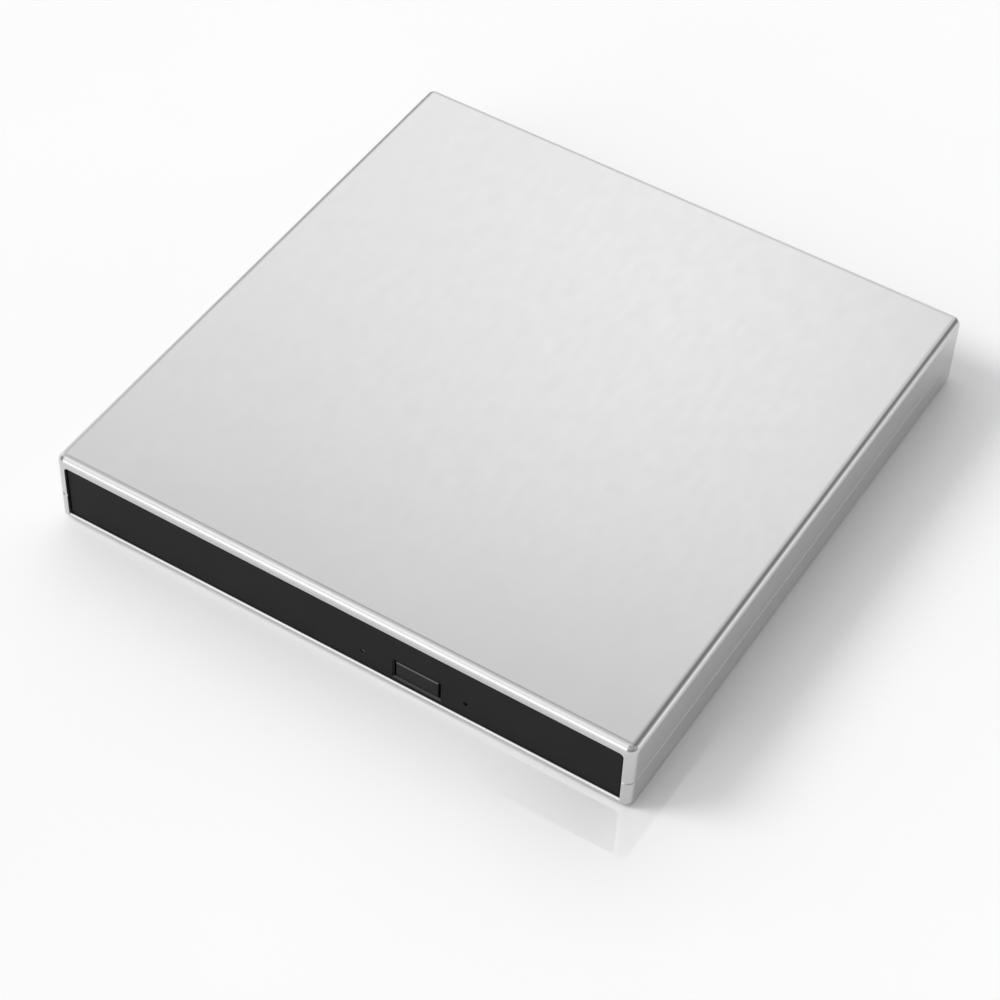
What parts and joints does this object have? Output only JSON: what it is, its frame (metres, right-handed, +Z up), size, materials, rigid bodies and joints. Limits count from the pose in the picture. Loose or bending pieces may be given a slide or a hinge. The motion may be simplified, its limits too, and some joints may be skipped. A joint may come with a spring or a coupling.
{
  "type": "external disc drive",
  "caption": "Flat silver external disc drive: a two-part case with a black front tray panel, eject button, sliding disc tray and rear sockets.",
  "frame": {"origin": "middle of the footprint on the surface that the feet stand on", "axes": "+Z up, +X to the right seen from the front panel, +Y from the front panel to the back"},
  "size_m": [0.1336, 0.1372, 0.0181],
  "materials": {
    "silver_shell": "satin silver metallic paint on moulded plastic",
    "black_plastic": "fine moulded grain",
    "rubber": "soft matt rubber",
    "sheet_steel": "zinc-plated pressed sheet",
    "bright_steel": "ground and polished steel",
    "screws": "plated screw",
    "cast_metal": "die-cast light alloy",
    "grey_plastic": "moulded plastic",
    "clear_plastic": "clear moulded light guide",
    "lamp": "moulded lamp body",
    "lens_glass": "coated lens",
    "circuit_board": "green solder resist",
    "chip_black": "moulded chip package",
    "coil": "wound copper wire",
    "flex_film": "amber film"
  },
  "bodies": {
    "case": {"top_cover": "silver_shell", "bottom_cover": "silver_shell", "rubber_feet": "rubber", "case_screws": "screws", "drive_screws": "screws", "drive_pan": "sheet_steel", "drive_lid": "sheet_steel", "rail_guide_left": "black_plastic", "rail_guide_right": "black_plastic", "latch_post": "bright_steel", "drive_board": "circuit_board", "drive_chips": "chip_black", "drive_socket": "chip_black", "bridge_board": "circuit_board", "bridge_plug": "chip_black", "bridge_chips": "chip_black", "usb_socket": "sheet_steel", "usb_tongue": "chip_black", "power_jack": "chip_black", "power_pin": "bright_steel", "flex_cable": "flex_film"},
    "rail_left": {"slide_rail_left": "sheet_steel"},
    "rail_right": {"slide_rail_right": "sheet_steel"},
    "tray": {"disc_tray": "black_plastic", "tray_bezel": "black_plastic", "status_light": "clear_plastic", "status_lamp": "lamp", "front_board": "circuit_board", "eject_switch": "grey_plastic", "traverse_frame": "sheet_steel", "traverse_dampers": "rubber", "traverse_screws": "screws", "guide_rod_main": "bright_steel", "guide_rod_side": "bright_steel", "spindle_stator": "cast_metal", "sled_motor": "cast_metal", "underplate": "sheet_steel", "underplate_screws": "screws", "latch_solenoid": "coil"},
    "eject_button": {"eject_button": "black_plastic"},
    "turntable": {"turntable": "cast_metal", "spindle_shaft": "bright_steel", "hub_jaws": "grey_plastic", "turntable_pad": "rubber"},
    "pickup": {"pickup_sled": "cast_metal", "sled_rack": "black_plastic"},
    "lens": {"lens_frame": "black_plastic", "objective_lens": "lens_glass"},
    "lead_screw": {"lead_screw": "bright_steel"},
    "latch": {"latch_lever": "grey_plastic"}
  },
  "joints": [
    {"name": "tray_slide", "type": "slide", "parent": "case", "child": "tray", "axis": [0, -1, 0], "range_m": [0, 0.118], "deforming": ["flex_cable"]},
    {"name": "rail_left_slide", "type": "slide", "parent": "case", "child": "rail_left", "axis": [0, -1, 0], "range_m": [0, 0.059]},
    {"name": "rail_right_slide", "type": "slide", "parent": "case", "child": "rail_right", "axis": [0, -1, 0], "range_m": [0, 0.059]},
    {"name": "eject_press", "type": "slide", "parent": "tray", "child": "eject_button", "axis": [0, 1, 0], "range_m": [0, 0.0005], "stiffness_N_per_m": 1200},
    {"name": "turntable_spin", "type": "hinge", "parent": "tray", "child": "turntable", "pos_m": [0, -0.00415, 0.0122], "axis": [0, 0, 1], "continuous": true},
    {"name": "pickup_travel", "type": "slide", "parent": "tray", "child": "pickup", "axis": [-0.7071, -0.7071, 0], "range_m": [0, 0.033]},
    {"name": "lead_screw_turn", "type": "hinge", "parent": "tray", "child": "lead_screw", "pos_m": [-0.03578, -0.00514, 0.00675], "axis": [-0.7071, -0.7071, 0], "range_deg": [-1, 3961]},
    {"name": "lens_focus", "type": "slide", "parent": "pickup", "child": "lens", "axis": [0, 0, 1], "range_m": [-0.0003, 0.0003], "stiffness_N_per_m": 30},
    {"name": "latch_swing", "type": "hinge", "parent": "tray", "child": "latch", "pos_m": [0.0465, -0.03635, 0.00585], "axis": [0, 0, 1], "range_deg": [0, 13], "stiffness_Nm_per_rad": 0.01}
  ],
  "couplings": [
    {"joint": "rail_left_slide", "follows": "tray_slide", "ratio": 0.5},
    {"joint": "rail_right_slide", "follows": "tray_slide", "ratio": 0.5},
    {"joint": "lead_screw_turn", "follows": "pickup_travel", "rad_per_m": 2094.4}
  ]
}
